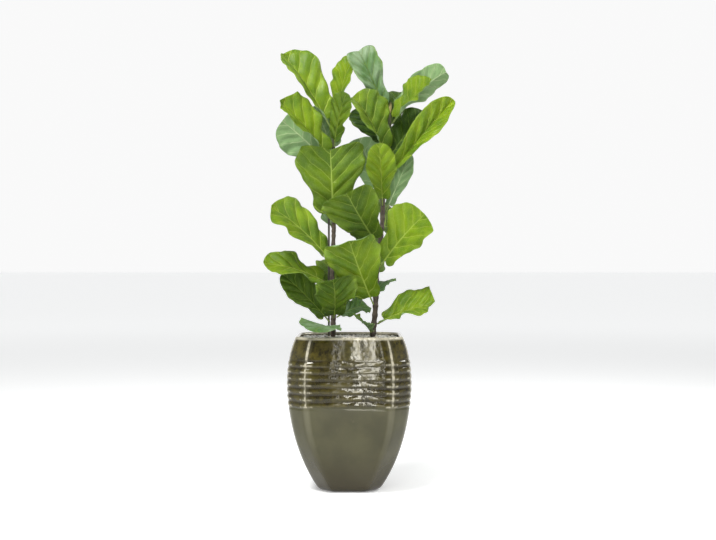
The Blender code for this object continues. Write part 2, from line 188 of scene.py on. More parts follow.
def new_object(mesh):
    """An object in the scene that shows a mesh, with the mesh's name."""
    obj = bpy.data.objects.new(mesh.name, mesh)
    scene.collection.objects.link(obj)
    return obj


def keep(mesh, **attributes):
    """Keeps a value for each point of a mesh, under each name, for the material to read."""
    for name, values in attributes.items():
        data = mesh.attributes.new(name, "FLOAT", "POINT").data
        data.foreach_set("value", np.asarray(values, np.float32))


def close_up(mesh):
    """Joins the points that meet, turns every face outward and shades the mesh smooth."""
    bm = bmesh.new()
    bm.from_mesh(mesh)
    bmesh.ops.remove_doubles(bm, verts=bm.verts, dist=1e-6)
    bmesh.ops.recalc_face_normals(bm, faces=bm.faces)
    bm.to_mesh(mesh)
    bm.free()
    mesh.shade_smooth()


# %% Floor
FLOOR_SIZE = 600.0
FLOOR_SHADES = (0.90, 0.90, 0.89), (0.93, 0.93, 0.92)
FLOOR_GLOW, NEAR = 0.22, 2.0
FAR_GLOW, FAR = 0.42, 11.0

bm = bmesh.new()
bmesh.ops.create_grid(bm, x_segments=1, y_segments=1, size=FLOOR_SIZE / 2)
floor_mesh = bpy.data.meshes.new("floor")
bm.to_mesh(floor_mesh)
bm.free()
floor = new_object(floor_mesh)
floor_paint, tree, shader, _ = new_material("floor_paint")
shader.inputs["Roughness"].default_value = 0.9
place = object_place(tree)
shade = blend_colours(tree, noise_at(tree, place, 1.2), *FLOOR_SHADES)
wire(tree, shade, shader.inputs["Base Color"])
shader.inputs["Emission Color"].default_value = (1.0, 1.0, 1.0, 1.0)
away = add(tree, "VectorMath", operation="LENGTH")
wire(tree, place, away.inputs[0])
glow = ramp(tree, away.outputs["Value"], NEAR, FAR, FLOOR_GLOW, FAR_GLOW)
wire(tree, glow, shader.inputs["Emission Strength"])
floor_mesh.materials.append(floor_paint)
print("floor:", FLOOR_SIZE, "m")

# %% Light
WORLD_STRENGTH = 0.95
WALL_SHADE = (1.0, 1.0, 1.0)
ROOM_SHADE = (0.60, 0.60, 0.60)
CEILING_SHADE = (0.46, 0.47, 0.48)
CROWN_MIDDLE = (0, 0, 0.9)
# Each soft panel: name, place, width and power.
SOFT_PANELS = (
    ("overhead_panel", (-1.0, -1.6, 3.4), 1.2, 170),
    ("side_panel", (2.6, 0.6, 2.6), 0.9, 55),
)
# Each upright strip: sideways place, width and power. They are close, and too narrow to light much.
STREAK_PANELS = ((-0.055, 0.012, 0.7), (0.028, 0.020, 3.4), (0.086, 0.022, 3.0), (0.150, 0.008, 0.7))
STREAK_DISTANCE = 1.2
STREAK_MIDDLE = 0.84
STREAK_LENGTH = 1.62


def panel(name, place, aim, width, height, watts):
    """A rectangular light panel that faces a point, and that the camera doesn't see."""
    light = bpy.data.lights.new(name, "AREA")
    light.shape = "RECTANGLE"
    light.size, light.size_y = width, height
    light.energy = watts
    obj = bpy.data.objects.new(name, light)
    obj.location = place
    obj.rotation_euler = (Vector(aim) - Vector(place)).to_track_quat("-Z", "Y").to_euler()
    obj.visible_camera = False
    scene.collection.objects.link(obj)


world = bpy.data.worlds.new("white_surround")
world.use_nodes = True
sky = world.node_tree
direction = add(sky, "TexCoord").outputs["Generated"]
backdrop = sky.nodes["Background"]
backdrop.inputs["Strength"].default_value = WORLD_STRENGTH
behind = ramp(sky, axis_of(sky, direction, "Y"), -0.85, 0.05)
walls = blend_colours(sky, behind, ROOM_SHADE, WALL_SHADE)
ceiling = ramp(sky, axis_of(sky, direction, "Z"), 0.22, 0.50)
wire(sky, blend_colours(sky, ceiling, walls, CEILING_SHADE), backdrop.inputs["Color"])
scene.world = world

for name, place, width, watts in SOFT_PANELS:
    panel(name, place, CROWN_MIDDLE, width, width, watts)
for side, width, watts in STREAK_PANELS:
    place, aim = (side, -STREAK_DISTANCE, STREAK_MIDDLE), (side, 0, STREAK_MIDDLE)
    panel(f"streak_panel_{side}", place, aim, width, STREAK_LENGTH, watts)

# %% [markdown]
# ## The shape of the pot
# The pot was thrown round and then pressed into a soft square, so its four wide faces meet in narrow
# flattened corners. Its outline from the side is one smooth curve, which a Bezier curve gives with
# four points. Seen from above, a rounded octagon comes from adding the reach of eight flat sides
# with a high power: the higher it is, the sharper the ridges between the sides. The same numbers
# shape the solid model, so this finer pot stays on it.

# %% Pot outline
POT_HEIGHT = 0.468
POT_WALL = 0.012
POT_CURVE = ((0.090, 0.0), (0.176, 0.12), (0.212, 0.35), (0.162, POT_HEIGHT - POT_WALL / 2))
CORNER_REACH_FOOT = 1.12
CORNER_REACH_BODY = 1.21
CORNER_REACH_FULL_HEIGHT = 0.20
CORNER_SHARPNESS = 40

RIB_COUNT = 7
RIB_LOWEST = 0.259
RIB_SPACING = 0.0202
RIB_TOP = RIB_LOWEST + RIB_COUNT * RIB_SPACING
RIDGE_WIDTH = 0.11


def bezier(points, t):
    """A point on a cubic Bezier curve, as (half-width, height)."""
    a, b, c, d = (Vector(p) for p in points)
    u = 1.0 - t
    return a * u**3 + b * 3 * u * u * t + c * 3 * u * t * t + d * t**3


def wall_half_width(height):
    """The pot's outer half-width at a height, without its ribs."""
    low, high = 0.0, 1.0
    for _ in range(30):
        middle = (low + high) / 2
        if bezier(POT_CURVE, middle).y < height:
            low = middle
        else:
            high = middle
    return bezier(POT_CURVE, low).x


def corner_reach(height):
    """How far the flattened corners stand out, as a share of the wide faces' half-width."""
    share = smoothstep(0.0, CORNER_REACH_FULL_HEIGHT, height)
    return CORNER_REACH_FOOT + (CORNER_REACH_BODY - CORNER_REACH_FOOT) * share


def squared(angle, height):
    """How far the pot's outline stands out at this angle: 1 at the middle of each wide face."""
    total = 0.0
    for turn in range(4):
        limit = 1.0 if turn % 2 == 0 else corner_reach(height)
        total += (abs(math.cos(angle - turn * math.pi / 4)) / limit) ** CORNER_SHARPNESS
    return total ** (-1.0 / CORNER_SHARPNESS)


def ridge_angle(height):
    """The angle from the middle of a wide face to the upright ridge beside it."""
    return math.atan2(corner_reach(height) - math.cos(math.pi / 4), math.sin(math.pi / 4))


def ridge_share(angle, height):
    """1 on the upright ridge between two sides, 0 in the middle of a side."""
    quarter = angle % (math.pi / 2)
    away = min(abs(quarter - ridge_angle(height)), abs(math.pi / 2 - quarter - ridge_angle(height)))
    return 1.0 - smoothstep(0.0, RIDGE_WIDTH, away)


print("pot:", round(2 * max(wall_half_width(z / 100) for z in range(46)), 3), "m across its belly")

# %% [markdown]
# ## Ribs left by the potter's fingers
# Between the shoulder and the belly, seven ribs run round the pot. They were drawn by hand, so each
# one rises and falls a few millimetres and is deeper in some places than in others. They are real
# relief on the pot, so they are made in the mesh: a rounded crest, a narrow groove, and slow noise
# that bends each groove and changes its depth. The share of groove at each point, and a thin line
# along each crest, are kept as attributes: the glaze is darker in the grooves, and painted glints sit
# on the crests near the ridges.

# %% Ribbed pot mesh
FACE_COLUMNS = 26
CORNER_COLUMNS = 16
POT_SIDES = 4 * (2 * FACE_COLUMNS + CORNER_COLUMNS)
FOOT_ROUND = 0.014
INSIDE_HEIGHTS = (0.455, 0.445, 0.43, 0.35, 0.2, 0.09, 0.035)
RIB_DEPTH = 0.0030
RIB_SWAY = 0.0030
RIB_FADE = 0.006
RIB_STEPS = 12


def rib_wave(angle, height):
    """Groove (0 on a crest, 1 in a groove), inside the ribbed band or not, and a line along each crest."""
    around = Vector((math.cos(angle), math.sin(angle), 0.0))
    sway = RIB_SWAY * noise.noise(around * 1.7 + Vector((0, 0, height * 14.0)))
    sway += 0.0012 * noise.noise(around * 6.0 + Vector((3.1, 0, height * 30.0)))
    turn = (height + sway - RIB_LOWEST) / RIB_SPACING
    groove = abs(math.cos(math.pi * turn)) ** 3.2
    inside = smoothstep(RIB_LOWEST - RIB_FADE, RIB_LOWEST + RIB_FADE / 2, height + sway)
    inside *= 1.0 - smoothstep(RIB_TOP - RIB_FADE / 2, RIB_TOP + RIB_FADE, height + sway)
    depth = 0.75 + 0.55 * noise.noise(around * 3.0 + Vector((0, 5.0, height * 22.0)))
    crest = abs(math.sin(math.pi * (turn + 0.14))) ** 16
    return groove * inside * max(0.25, depth), inside, crest * inside


def column_angles(height):
    """Angles round the pot, crowded at the ridges so that each ridge runs along one column."""
    ridge = ridge_angle(height)
    right = math.pi / 2
    quarter = [ridge * (1.0 - (1.0 - i / FACE_COLUMNS) ** 1.8) for i in range(FACE_COLUMNS)]
    for i in range(CORNER_COLUMNS):
        quarter.append(ridge + (right - 2 * ridge) * (0.5 - 0.5 * math.cos(math.pi * i / CORNER_COLUMNS)))
    quarter += [right - ridge + ridge * (i / FACE_COLUMNS) ** 1.8 for i in range(FACE_COLUMNS)]
    return [turn * right + angle for turn in range(4) for angle in quarter]


def pot_rows():
    """(half-width, height, is_outside) down the pot: up the outside, over the lip and down the inside."""
    rows = [(0.0, 0.0, False), (0.05, 0.0, False)]
    for degrees in range(0, 91, 15):
        turn = math.radians(degrees)
        height = FOOT_ROUND * (1.0 - math.cos(turn))
        rows.append((wall_half_width(height) - FOOT_ROUND * (1.0 - math.sin(turn)), height, degrees > 0))
    heights = [0.020 + i * 0.0091 for i in range(25)]
    count = RIB_COUNT * RIB_STEPS + 8
    low, high = RIB_LOWEST - 0.008, RIB_TOP + 0.008
    heights += [low + (high - low) * i / count for i in range(count + 1)]
    heights += [high + (POT_CURVE[3][1] - high) * i / 8 for i in range(1, 8)]
    rows += [(wall_half_width(z), z, True) for z in heights]
    radius = POT_WALL / 2
    middle = POT_CURVE[3][0] - radius
    for degrees in range(0, 181, 15):
        turn = math.radians(degrees)
        rows.append((middle + radius * math.cos(turn), POT_CURVE[3][1] + radius * math.sin(turn), True))
    rows += [(wall_half_width(z) - POT_WALL, z, False) for z in INSIDE_HEIGHTS]
    return rows + [(0.085, 0.022, False), (0.0, 0.022, False)]


def build_pot():
    rows = pot_rows()
    verts, grooves, ridges, crests = [], [], [], []
    for half, height, is_outside in rows:
        for angle in column_angles(height):
            groove, inside, crest = rib_wave(angle, height) if is_outside else (0.0, 0.0, 0.0)
            reach = (half - RIB_DEPTH * groove + 0.0012 * inside) * squared(angle, height)
            verts.append((reach * math.cos(angle), reach * math.sin(angle), height))
            grooves.append(groove)
            crests.append(crest)
            ridges.append(ridge_share(angle, height) if is_outside else 0.0)
    faces = []
    for row in range(len(rows) - 1):
        for side in range(POT_SIDES):
            a, b = row * POT_SIDES + side, row * POT_SIDES + (side + 1) % POT_SIDES
            faces.append((a, b, b + POT_SIDES, a + POT_SIDES))
    mesh = bpy.data.meshes.new("glazed_pot")
    mesh.from_pydata(verts, [], faces)
    keep(mesh, groove=grooves, ridge=ridges, crest=crests)
    close_up(mesh)
    return new_object(mesh)


pot = build_pot()
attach(pot, "root")
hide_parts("pot")
print("pot mesh:", len(pot.data.vertices), "vertices")

# %% [markdown]
# ## Glaze
# Two glazes meet on this pot. The upper one is glossy and olive brown, mottled where it ran, and
# thins to a pale line on the lip and on the upright ridges, a line that is also a painted highlight.
# The lower one is a smoother grey olive with a softer shine. Both are one Principled shader: a mask
# of the height, made uneven by noise, chooses between the two. The grooves kept on the mesh darken
# it, and the ridges lighten it with a painted sheen and with painted glints across the ribs' crests.

# %% Glaze material
GLAZE_LINE = 0.266
OLIVES = (0.011, 0.009, 0.001), (0.042, 0.034, 0.004)
OLIVE_DRIPS = (0.062, 0.048, 0.008)
OLIVE_CLOUDS = (0.072, 0.068, 0.022)
# Colour of the glaze in the grooves, where it is darkest.
GROOVE_BROWN = (0.010, 0.007, 0.002)
STONE_GREYS = (0.029, 0.0275, 0.011), (0.046, 0.044, 0.019)
STONE_SPECKS = (0.100, 0.088, 0.048)
FOOT_BROWN = (0.022, 0.017, 0.006)
# Colour of the painted sheen along the ridges.
PAINTED_RIDGE_SHEEN = (0.200, 0.190, 0.135)
THIN_GLAZE_AND_HIGHLIGHT = (0.42, 0.39, 0.30)


def upper_glaze(tree, mottle, drips, clouds, groove):
    """Olive brown, mottled and run, and darkest in the grooves."""
    olive = blend_colours(tree, ramp(tree, mottle, 0.36, 0.66), *OLIVES)
    olive = blend_colours(tree, ramp(tree, drips, 0.50, 0.75, 0.0, 0.55), olive, OLIVE_DRIPS)
    olive = blend_colours(tree, ramp(tree, clouds, 0.50, 0.75, 0.0, 0.4), olive, OLIVE_CLOUDS)
    return blend_colours(tree, times(tree, groove, 0.85), olive, GROOVE_BROWN)


def lower_glaze(tree, mottle, clouds, height):
    """Grey olive with a few specks, browner toward the foot."""
    grey = blend_colours(tree, ramp(tree, clouds, 0.30, 0.70), *STONE_GREYS)
    grey = blend_colours(tree, ramp(tree, mottle, 0.60, 0.80, 0.0, 0.25), grey, STONE_SPECKS)
    return blend_colours(tree, ramp(tree, height, 0.0, 0.17, 0.95, 0.0), grey, FOOT_BROWN)


def thin_glaze_and_highlights(tree, mottle, drips, clouds, groove, ridge, height):
    """1 where a pale line is painted: thin glaze with a painted highlight on the ridges and on the lip, and
    painted glints on the ribs' crests near the ridges.
    """
    line_start = maths(tree, "MULTIPLY_ADD", clouds, 0.20, 0.82)
    # The pale line on each upright ridge is thin glaze and also a painted highlight.
    edge = ramp(tree, ridge, line_start, maths(tree, "ADD", line_start, 0.06))
    edge = times(tree, edge, maths(tree, "MULTIPLY_ADD", groove, -0.9, 1.0))
    edge = times(tree, edge, ramp(tree, height, GLAZE_LINE - 0.004, GLAZE_LINE + 0.006))
    # Painted glints: pale dashes along the ribs' crests near the ridges stand in for the highlights of the
    # glossy ribs.
    crest_glints = times(tree, ramp(tree, ridge, 0.02, 0.35), attribute(tree, "crest"))
    crest_glints = times(tree, crest_glints, ramp(tree, drips, 0.38, 0.56, 0.25, 1.0))
    # The pale line round the lip is thin glaze and also a painted highlight on the rounded rim.
    lip = ramp(tree, height, POT_HEIGHT - 0.011, POT_HEIGHT - 0.004)
    lines = maths(tree, "MAXIMUM", maths(tree, "MAXIMUM", edge, crest_glints), lip)
    return times(tree, lines, ramp(tree, mottle, 0.30, 0.58, 0.45, 1.0))


glaze, tree, shader, _ = new_material("two_tone_glaze")
place = object_place(tree)
height = axis_of(tree, place, "Z")
groove, ridge = attribute(tree, "groove"), attribute(tree, "ridge")
mottle = noise_at(tree, place, 46.0, 5.0, 0.7)
clouds = noise_at(tree, place, 10.0, 3.0)
drips = noise_at(tree, drawn_out(tree, place, 0.22), 70.0, 3.0, 0.6)

ragged = maths(tree, "MULTIPLY_ADD", noise_at(tree, place, 9.0, 2.0), 0.014, -0.007)
line = maths(tree, "ADD", height, ragged)
upper = ramp(tree, line, GLAZE_LINE - 0.003, GLAZE_LINE + 0.003)
lower_coat = lower_glaze(tree, mottle, clouds, height)
body = blend_colours(tree, upper, lower_coat, upper_glaze(tree, mottle, drips, clouds, groove))
# Painted sheen: a wide, soft pale band along each ridge, strongest on the lower glaze, stands in for its soft
# highlights.
ridge_sheen = times(tree, ramp(tree, ridge, 0.35, 1.0, 0.0, 0.24), ramp(tree, height, 0.05, 0.25))
ridge_sheen = times(tree, ridge_sheen, ramp(tree, upper, 0.0, 1.0, 1.0, 0.5))
body = blend_colours(tree, ridge_sheen, body, PAINTED_RIDGE_SHEEN)
# Pale lines of thin glaze, with painted highlights and painted glints, lighten the glaze.
pale_lines = thin_glaze_and_highlights(tree, mottle, drips, clouds, groove, ridge, height)
body = blend_colours(tree, times(tree, pale_lines, 0.75), body, THIN_GLAZE_AND_HIGHLIGHT)

rough = maths(tree, "MULTIPLY_ADD", mottle, 0.06, ramp(tree, upper, 0.0, 1.0, 0.15, 0.035))
dimples = maths(tree, "MULTIPLY_ADD", drips, 0.12, clouds)
coat(tree, shader, body, rough, dimples, 0.0012, 0.8)
shader.inputs["Specular IOR Level"].default_value = 0.36
shader.inputs["Specular Tint"].default_value = (1.0, 0.97, 0.86, 1.0)
pot.data.materials.append(glaze)
print("glaze:", len(tree.nodes), "nodes")

# %% [markdown]
# ## Soil and gravel
# A thin layer of mixed gravel covers the potting soil and keeps it moist. A flat speckled surface
# would look like paper at the rim, so loose stones are scattered over the layer: lumpy balls, each
# squashed, turned and sized by chance from one fixed seed, and all joined in one mesh. A number
# kept on each stone picks its colour, from chalk white to slate.

# %% Scatter the stones
GRAVEL_TOP = 0.456
GRAVEL_CROWN = 0.004
STONE_SPACING = 0.0076
STONE_SIZE = (0.0026, 0.0052)
STONE_STRETCH = ((0.8, 1.25), (0.7, 1.1), (0.5, 0.8))
STONE_KINDS = 5

chance = random.Random(7)


def stone_shapes():
    """A few lumpy balls, as (vertices, faces), to copy from."""
    shapes = []
    for kind in range(STONE_KINDS):
        bm = bmesh.new()
        bmesh.ops.create_icosphere(bm, subdivisions=2 if kind == 0 else 1, radius=1.0)
        for vert in bm.verts:
            vert.co *= 1.0 + 0.35 * noise.noise(vert.co * 1.1 + Vector((kind * 7.0, 0, 0)))
        bm.verts.index_update()
        faces = [[vert.index for vert in face.verts] for face in bm.faces]
        shapes.append((np.array([vert.co[:] for vert in bm.verts]), faces))
        bm.free()
    return shapes


def turned(points, a, b):
    """Points turned about Z and then about X."""
    about_z = np.array([[math.cos(a), -math.sin(a), 0], [math.sin(a), math.cos(a), 0], [0, 0, 1]])
    about_x = np.array([[1, 0, 0], [0, math.cos(b), -math.sin(b)], [0, math.sin(b), math.cos(b)]])
    return points @ about_z.T @ about_x.T


def scatter_stones():
    shapes = stone_shapes()
    edge = wall_half_width(GRAVEL_TOP) - POT_WALL - 0.004
    count = int(2 * edge / STONE_SPACING) + 1
    verts, faces, tones, start = [], [], [], 0
    for i in range(count):
        for j in range(count):
            x = -edge + i * STONE_SPACING + chance.uniform(-0.003, 0.003)
            y = -edge + j * STONE_SPACING + chance.uniform(-0.003, 0.003)
            away = math.hypot(x, y)
            if away > edge * squared(math.atan2(y, x), GRAVEL_TOP):
                continue
            shape, shape_faces = shapes[chance.randrange(STONE_KINDS)]
            size = chance.uniform(*STONE_SIZE)
            stretch = np.array([chance.uniform(*ends) for ends in STONE_STRETCH])
            lump = turned(shape * stretch * size, chance.uniform(0, math.tau), chance.uniform(-0.6, 0.6))
            ground = GRAVEL_TOP + GRAVEL_CROWN * max(0.0, 1.0 - away / edge)
            lump += np.array([x, y, ground + size * 0.15])
            verts.extend(lump.tolist())
            faces.extend([[start + k for k in face] for face in shape_faces])
            tones.extend([chance.random()] * len(lump))
            start += len(lump)
    mesh = bpy.data.meshes.new("gravel_stones")
    mesh.from_pydata(verts, [], faces)
    keep(mesh, tone=tones)
    mesh.shade_smooth()
    return new_object(mesh)


stones = scatter_stones()
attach(stones, "root")
print("gravel:", len(stones.data.polygons), "faces")

# %% Stone and soil materials
def ramp_of_colours(tree, source, stops):
    """A colour ramp from (position, colour) stops, without blending between them."""
    node = tree.nodes.new("ShaderNodeValToRGB")
    node.color_ramp.interpolation = "CONSTANT"
    wire(tree, source, node.inputs[0])
    points = node.color_ramp.elements
    while len(points) < len(stops):
        points.new(0.5)
    for point, (position, colour) in zip(points, stops):
        point.position, point.color = position, (*colour, 1.0)
    return node.outputs["Color"]


STONE_COLOURS = (
    (0.00, (0.62, 0.61, 0.57)),
    (0.30, (0.40, 0.39, 0.36)),
    (0.55, (0.24, 0.23, 0.21)),
    (0.72, (0.50, 0.44, 0.34)),
    (0.84, (0.09, 0.085, 0.08)),
)
GRAIN_GREY = (0.20, 0.19, 0.17)
EARTH_BROWNS = (0.012, 0.008, 0.005), (0.060, 0.042, 0.028)


def stone_material(name, tone):
    """Matte stone. tone makes, from the node tree, the value that picks each stone's colour."""
    made, tree, shader, _ = new_material(name)
    place = object_place(tree)
    colour = ramp_of_colours(tree, tone(tree, place), STONE_COLOURS)
    grain = noise_at(tree, place, 900.0, 4.0, 0.7)
    colour = blend_colours(tree, ramp(tree, grain, 0.40, 0.70, 0.0, 0.5), colour, GRAIN_GREY)
    coat(tree, shader, colour, ramp(tree, grain, 0.3, 0.7, 0.75, 0.95), grain, 0.0004)
    return made


def cell_tone(tree, place):
    """A random value for each cell, for the small grit between the stones."""
    cells = add(tree, "TexVoronoi", Scale=190.0)
    wire(tree, place, cells.inputs["Vector"])
    split = tree.nodes.new("ShaderNodeSeparateColor")
    wire(tree, cells.outputs["Color"], split.inputs[0])
    return split.outputs[0]


stones.data.materials.append(stone_material("mixed_gravel", lambda tree, place: attribute(tree, "tone")))
grit = stone_material("fine_grit", cell_tone)

earth, tree, shader, _ = new_material("potting_soil")
crumbs = noise_at(tree, object_place(tree), 260.0, 6.0, 0.75)
rough = ramp(tree, crumbs, 0.2, 0.8, 0.85, 1.0)
coat(tree, shader, blend_colours(tree, crumbs, *EARTH_BROWNS), rough, crumbs, 0.003)


def refinish(node, made):
    """Gives a solid-model node a finished material."""
    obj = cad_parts[node]
    obj.data.materials.clear()
    obj.data.materials.append(made)


refinish("gravel_mulch", grit)
refinish("potting_soil", earth)
print("soil and gravel wear", earth.name, "and", grit.name)

# %% [markdown]
# ## Trunks, stake and ties
# The trunks are young wood: grey brown bark, a swelling where each leaf grew, and lighter, greener
# wood near the top. Each is a tube of rings along the solid model's line, whose radius is changed ring
# by ring. The stake is a thin cane, and two soft black straps hold the left trunk to it.

# %% The two plants and their leaves
SOIL_TOP = 0.444

Plant = namedtuple("Plant", "foot lean sway apex foot_radius tip_radius stake stake_top")
PLANTS = {
    "left": Plant((-0.051, 0.006), (0.000, 0.008), 0.0025, 1.118, 0.0075, 0.0045, (-0.013, 0.0130), 0.985),
    "right": Plant((0.070, 0.006), (0.076, 0.008), 0.0025, 1.150, 0.0085, 0.0050, None, None),
}

# height, tip, width, face, arch, curl, fold, wave and phase are the solid model's.
# blunt      how square the blade's end is, and notch, how far its two shoulders reach past the midrib
# roll       degrees that the very end rolls over toward the leaf's face
# tone       from 0, old and deep green, to 1, young and yellow green; a low tone is also painted shade on leaves that stand in shadow; below 0, paled by a painted sheen, a glossy reflection painted in
Leaf = namedtuple("Leaf", "name plant height tip width face arch curl fold wave phase blunt notch roll tone")
LEAF_TABLE = (
    # Left plant, from the soil up.
    ("left_01", 0.482, (-0.1, -0.202, 0.486), 0.135, (285, 70), 24, 16, 12, 0.005, 0.4, 2.6, 0.1, 0, -0.6),
    ("left_02", 0.505, (-0.205, -0.02, 0.655), 0.105, (245, 45), 25, 0, 24, 0.005, 1.1, 2.6, 0.1, 0, 0.25),
    ("left_03", 0.52, (-0.048, -0.095, 0.638), 0.14, (275, 45), 40, 40, 16, 0.006, 2.0, 5.0, 0.3, 70, 0.4),
    ("left_04", 0.62, (-0.26, -0.06, 0.69), 0.125, (272, 52), 38, 10, 22, 0.008, 0.0, 2.6, 0.1, 50, 0.85),
    ("left_05", 0.695, (-0.235, -0.06, 0.862), 0.155, (300, 36), 30, 10, 26, 0.008, 3.2, 2.4, 0.1, 50, 0.85),
    ("left_06", 0.812, (-0.058, -0.04, 1.03), 0.222, (272, 12), 22, 14, 10, 0.007, 1.2, 4.6, 0.45, 35, 0.55),
    ("left_07", 1.005, (-0.21, -0.062, 1.178), 0.15, (308, 28), 20, 20, 44, 0.007, 2.4, 3.4, 0.1, 60, 0.9),
    ("left_08", 0.99, (-0.21, 0.05, 1.13), 0.15, (95, 25), 30, 10, 10, 0.007, 0.3, 3.0, 0.1, 0, 0.35),
    ("left_09", 1.098, (-0.205, 0.03, 1.336), 0.185, (310, 20), 16, 16, 46, 0.007, 5.0, 3.0, 0.1, 30, 0.88),
    ("left_10", 1.098, (0.0, 0.055, 1.334), 0.085, (240, 20), 15, 0, 34, 0.006, 3.0, 2.4, 0.1, 0, 0.9),
    ("left_11", 1.045, (-0.008, -0.086, 1.196), 0.085, (250, 25), 20, 10, 18, 0.004, 2.0, 3.0, 0.16, 0, 0.5),
    ("left_12", 0.56, (-0.03, 0.18, 0.7), 0.14, (85, 50), 45, 10, 14, 0.006, 1.0, 3.0, 0.16, 0, 0.45),
    ("left_13", 0.79, (-0.055, 0.165, 0.935), 0.115, (100, 40), 40, 10, 14, 0.006, 0.2, 3.0, 0.16, 0, 0.45),
    ("left_14", 0.895, (-0.045, 0.165, 1.05), 0.125, (80, 38), 35, 10, 14, 0.006, 2.2, 3.0, 0.16, 0, 0.5),
    ("left_15", 1.03, (-0.11, 0.13, 1.19), 0.135, (100, 35), 30, 10, 16, 0.005, 4.0, 3.0, 0.16, 0, 0.6),
    ("left_16", 0.52, (0.055, 0.06, 0.555), 0.085, (290, 60), 30, 10, 10, 0.006, 1.4, 3.0, 0.16, 0, -0.4),
    # Right plant, from the soil up.
    ("right_01", 0.5, (0.258, -0.068, 0.572), 0.175, (268, 58), 28, 0, 28, 0.008, 0.8, 2.4, 0.1, 60, 0.95),
    ("right_02", 0.475, (0.022, -0.08, 0.52), 0.08, (280, 60), 20, 0, 22, 0.003, 0.0, 3.0, 0.1, 0, 0.25),
    ("right_03", 0.56, (-0.003, -0.118, 0.752), 0.165, (255, 12), 20, 30, 12, 0.007, 2.6, 5.0, 0.3, 120, 0.7),
    ("right_04", 0.59, (0.112, 0.13, 0.63), 0.09, (80, 50), 30, 0, 14, 0.004, 1.0, 3.0, 0.1, 0, -0.7),
    ("right_05", 0.675, (0.226, -0.062, 0.836), 0.165, (272, 36), 30, 10, 24, 0.009, 4.4, 3.2, 0.16, 40, 0.85),
    ("right_06", 0.745, (-0.008, -0.105, 0.893), 0.172, (247, 12), 18, 14, 10, 0.007, 1.8, 5.0, 0.36, 40, 0.38),
    ("right_07", 0.865, (0.088, -0.09, 1.045), 0.105, (275, 16), 15, 15, 24, 0.006, 0.5, 2.2, 0.1, 0, 0.85),
    ("right_08", 0.95, (0.315, -0.05, 1.182), 0.115, (300, 40), 18, 0, 52, 0.006, 2.2, 2.6, 0.05, 0, 0.95),
    ("right_09", 0.845, (0.188, 0.045, 1.028), 0.068, (65, 30), 15, 0, 26, 0.004, 5.2, 2.0, 0.1, 0, 0.3),
    ("right_10", 1.015, (0.01, -0.06, 1.188), 0.17, (298, 34), 30, 15, 42, 0.006, 1.0, 2.6, 0.1, 0, 0.72),
    ("right_11", 1.145, (0.028, 0.02, 1.342), 0.1, (268, 20), 15, 20, 22, 0.008, 0.0, 5.0, 0.3, -15, -0.75),
    ("right_12", 1.15, (0.3, 0.04, 1.28), 0.115, (80, 35), 25, 0, 34, 0.008, 2.8, 2.6, 0.1, -40, 0.6),
    ("right_13", 1.115, (0.25, -0.04, 1.245), 0.125, (275, 58), 20, 0, 40, 0.005, 3.6, 2.4, 0.05, 30, 0.9),
    ("right_14", 1.005, (0.235, 0.045, 1.155), 0.13, (262, 48), 28, 0, 18, 0.005, 1.6, 3.0, 0.16, 0, 0.05),
    ("right_15", 1.05, (0.02, 0.045, 1.168), 0.088, (262, 18), 24, 10, 16, 0.005, 4.6, 3.0, 0.16, 0, 0.0),
    ("right_16", 0.64, (0.035, 0.18, 0.78), 0.145, (100, 50), 45, 10, 14, 0.006, 3.0, 3.0, 0.16, 0, 0.45),
    ("right_17", 0.77, (0.1, 0.18, 0.895), 0.13, (75, 45), 40, 10, 14, 0.006, 5.5, 3.0, 0.16, 0, 0.4),
    ("right_18", 0.915, (0.03, 0.165, 1.09), 0.145, (110, 38), 35, 10, 14, 0.006, 0.9, 3.0, 0.16, 0, 0.45),
    ("right_19", 1.098, (0.158, 0.15, 1.235), 0.1, (262, 30), 20, 10, 16, 0.005, 2.9, 3.0, 0.16, 0, 0.1),
)
LEAVES = [Leaf("leaf_" + row[0], row[0].split("_")[0], *row[1:]) for row in LEAF_TABLE]
print(len(LEAVES), "leaves")


def trunk_axis(plant, height):
    """The middle of a trunk at a height. It leans, and sways a little from joint to joint."""
    rise = height - SOIL_TOP
    sway = plant.sway * math.sin(rise * 22.0) * smoothstep(0.0, 0.15, rise)
    return Vector(
        (plant.foot[0] + plant.lean[0] * rise + sway, plant.foot[1] + plant.lean[1] * rise, height)
    )


def trunk_radius(plant, height):
    share = smoothstep(SOIL_TOP, plant.apex, height)
    return plant.foot_radius + (plant.tip_radius - plant.foot_radius) * share


# %% A tube of rings
def tube_mesh(name, centres, radius, sides=20):
    """A closed tube. radius(ring, angle) gives the distance from each centre to the surface."""
    verts, faces = [], []
    count = len(centres)
    for ring, centre in enumerate(centres):
        ahead = (centres[min(ring + 1, count - 1)] - centres[max(ring - 1, 0)]).normalized()
        across = ahead.orthogonal() if abs(ahead.z) < 0.5 else Vector((1, 0, 0))
        side = (across - ahead * across.dot(ahead)).normalized()
        other = ahead.cross(side)
        for step in range(sides):
            angle = math.tau * step / sides
            out = side * math.cos(angle) + other * math.sin(angle)
            verts.append(centre + out * radius(ring, angle))
    for ring in range(count - 1):
        for step in range(sides):
            a, b = ring * sides + step, ring * sides + (step + 1) % sides
            faces.append((a, b, b + sides, a + sides))
    faces.append(tuple(range(sides - 1, -1, -1)))
    faces.append(tuple(range((count - 1) * sides, count * sides)))
    mesh = bpy.data.meshes.new(name)
    mesh.from_pydata(verts, [], faces)
    mesh.shade_smooth()
    return new_object(mesh)


# %% Trunks
RING_STEP = 0.003
NODE_SWELLING = 0.22
NODE_LENGTH = 0.006
NODE_SPACING, NODE_COUNT = 0.027, 26
BARK_BROWNS = (0.014, 0.010, 0.007), (0.070, 0.050, 0.032)
BARK_PATCHES = (0.095, 0.080, 0.056)
YOUNG_WOOD = (0.050, 0.065, 0.018)


